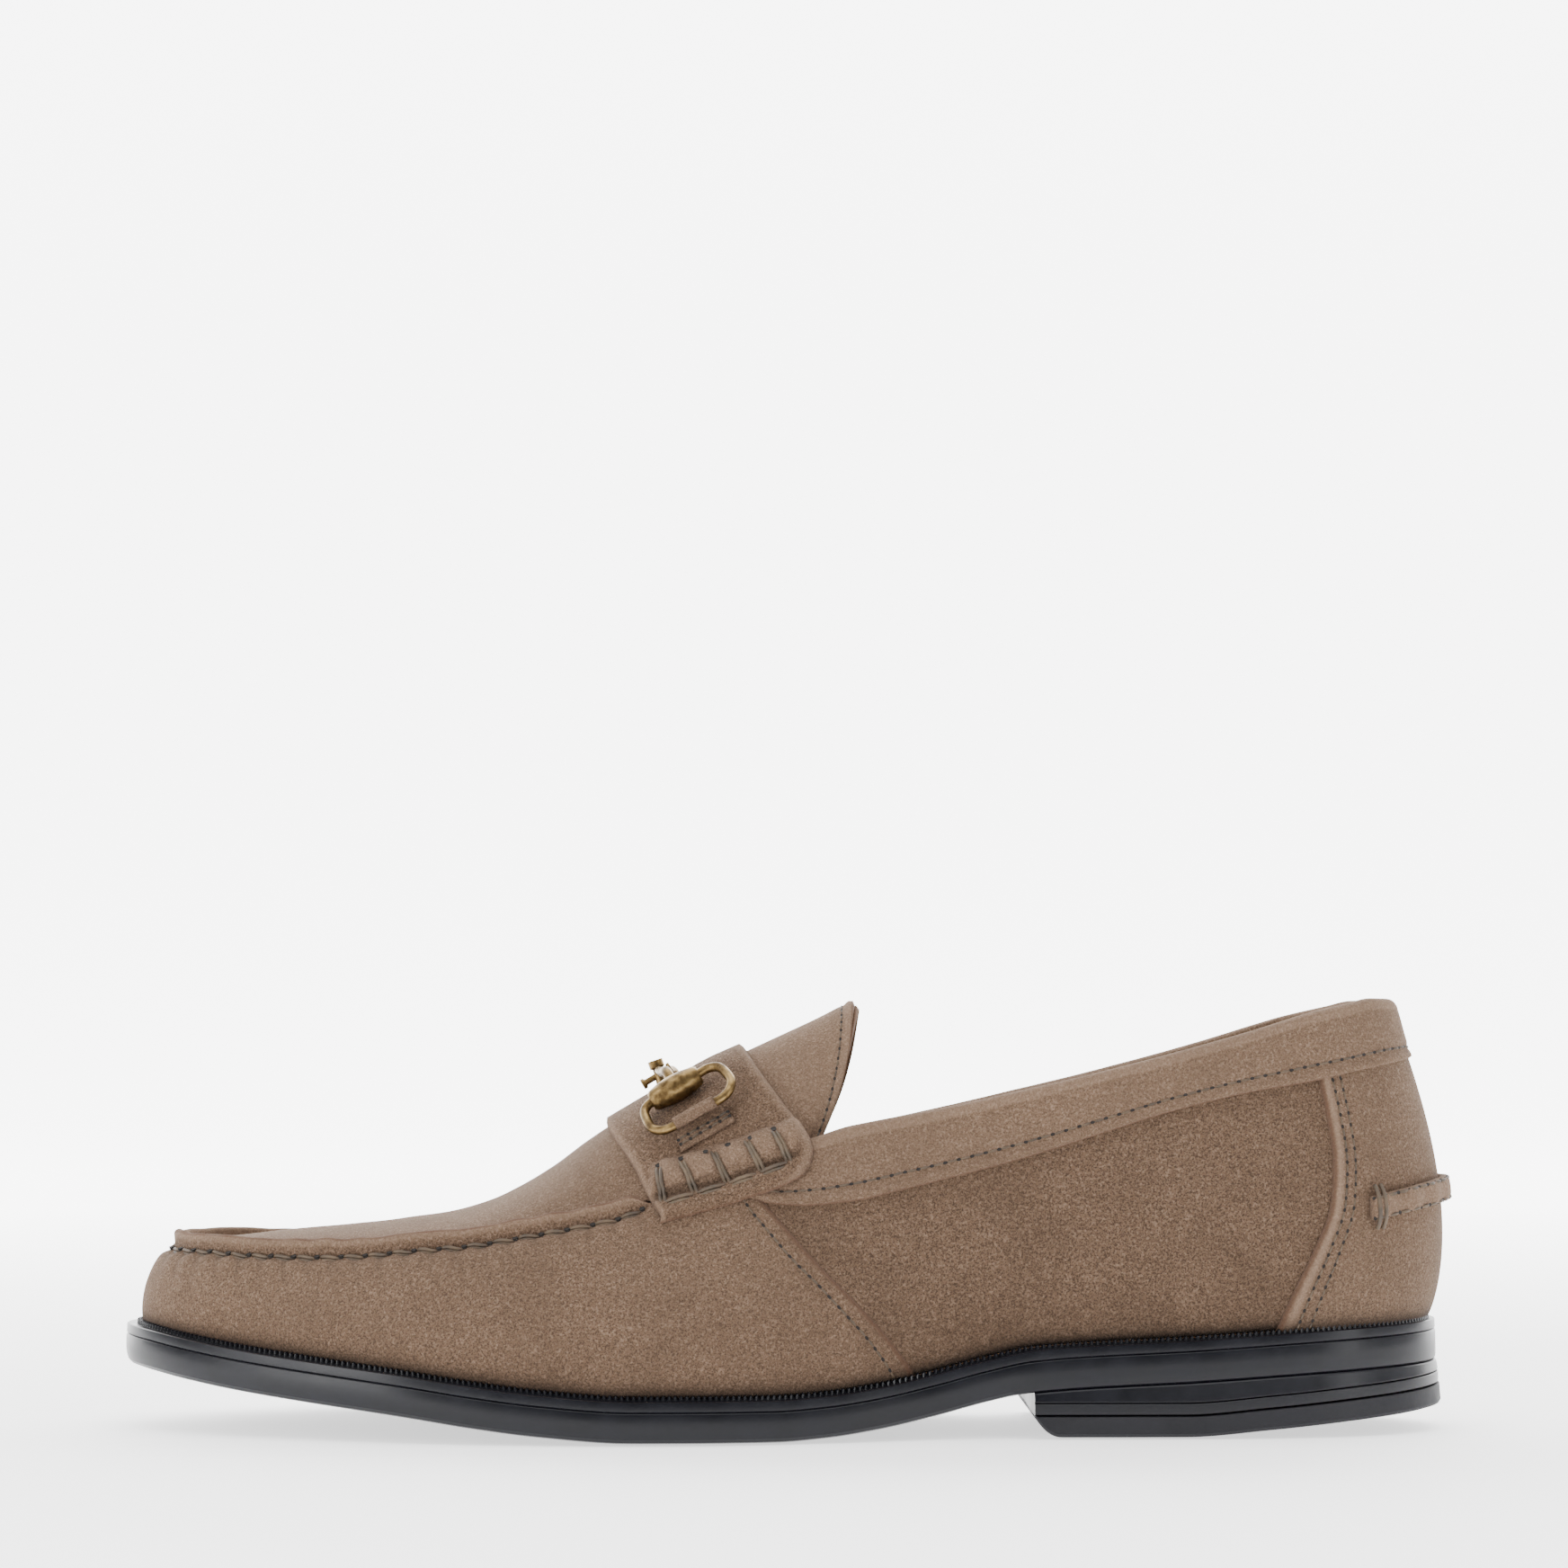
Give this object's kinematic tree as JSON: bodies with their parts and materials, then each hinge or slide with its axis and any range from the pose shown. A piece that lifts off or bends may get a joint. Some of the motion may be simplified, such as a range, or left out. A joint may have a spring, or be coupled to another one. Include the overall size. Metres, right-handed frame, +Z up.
{
  "type": "bit loafer",
  "caption": "Left suede bit loafer with a raised moccasin seam, a strap with a brass bit, and a dark rubber sole with a stacked heel.",
  "frame": {"origin": "on the floor under the middle of the heel's flat spot", "axes": "-X towards the toe, -Y towards the outer side of the foot, +Z up"},
  "size_m": [0.3042, 0.1, 0.0966],
  "materials": {
    "suede": "matte suede",
    "lining": "smooth lining",
    "sole_rubber": "semi gloss",
    "bit_brass": "antique"
  },
  "bodies": {
    "root": {"outsole": "sole_rubber", "welt": "sole_rubber", "heel_block": "sole_rubber", "top_lift": "sole_rubber", "insole": "lining", "upper": "suede", "tongue": "suede", "saddle_strap": "suede", "collar_band": "suede", "heel_counter": "suede", "heel_loop": "suede", "bit_barrel_lateral": "bit_brass", "bit_barrel_medial": "bit_brass", "bit_ring_lateral": "bit_brass", "bit_ring_medial": "bit_brass", "bit_link": "bit_brass", "bit_tab_lateral": "suede", "bit_tab_medial": "suede"}
  },
  "joints": []
}
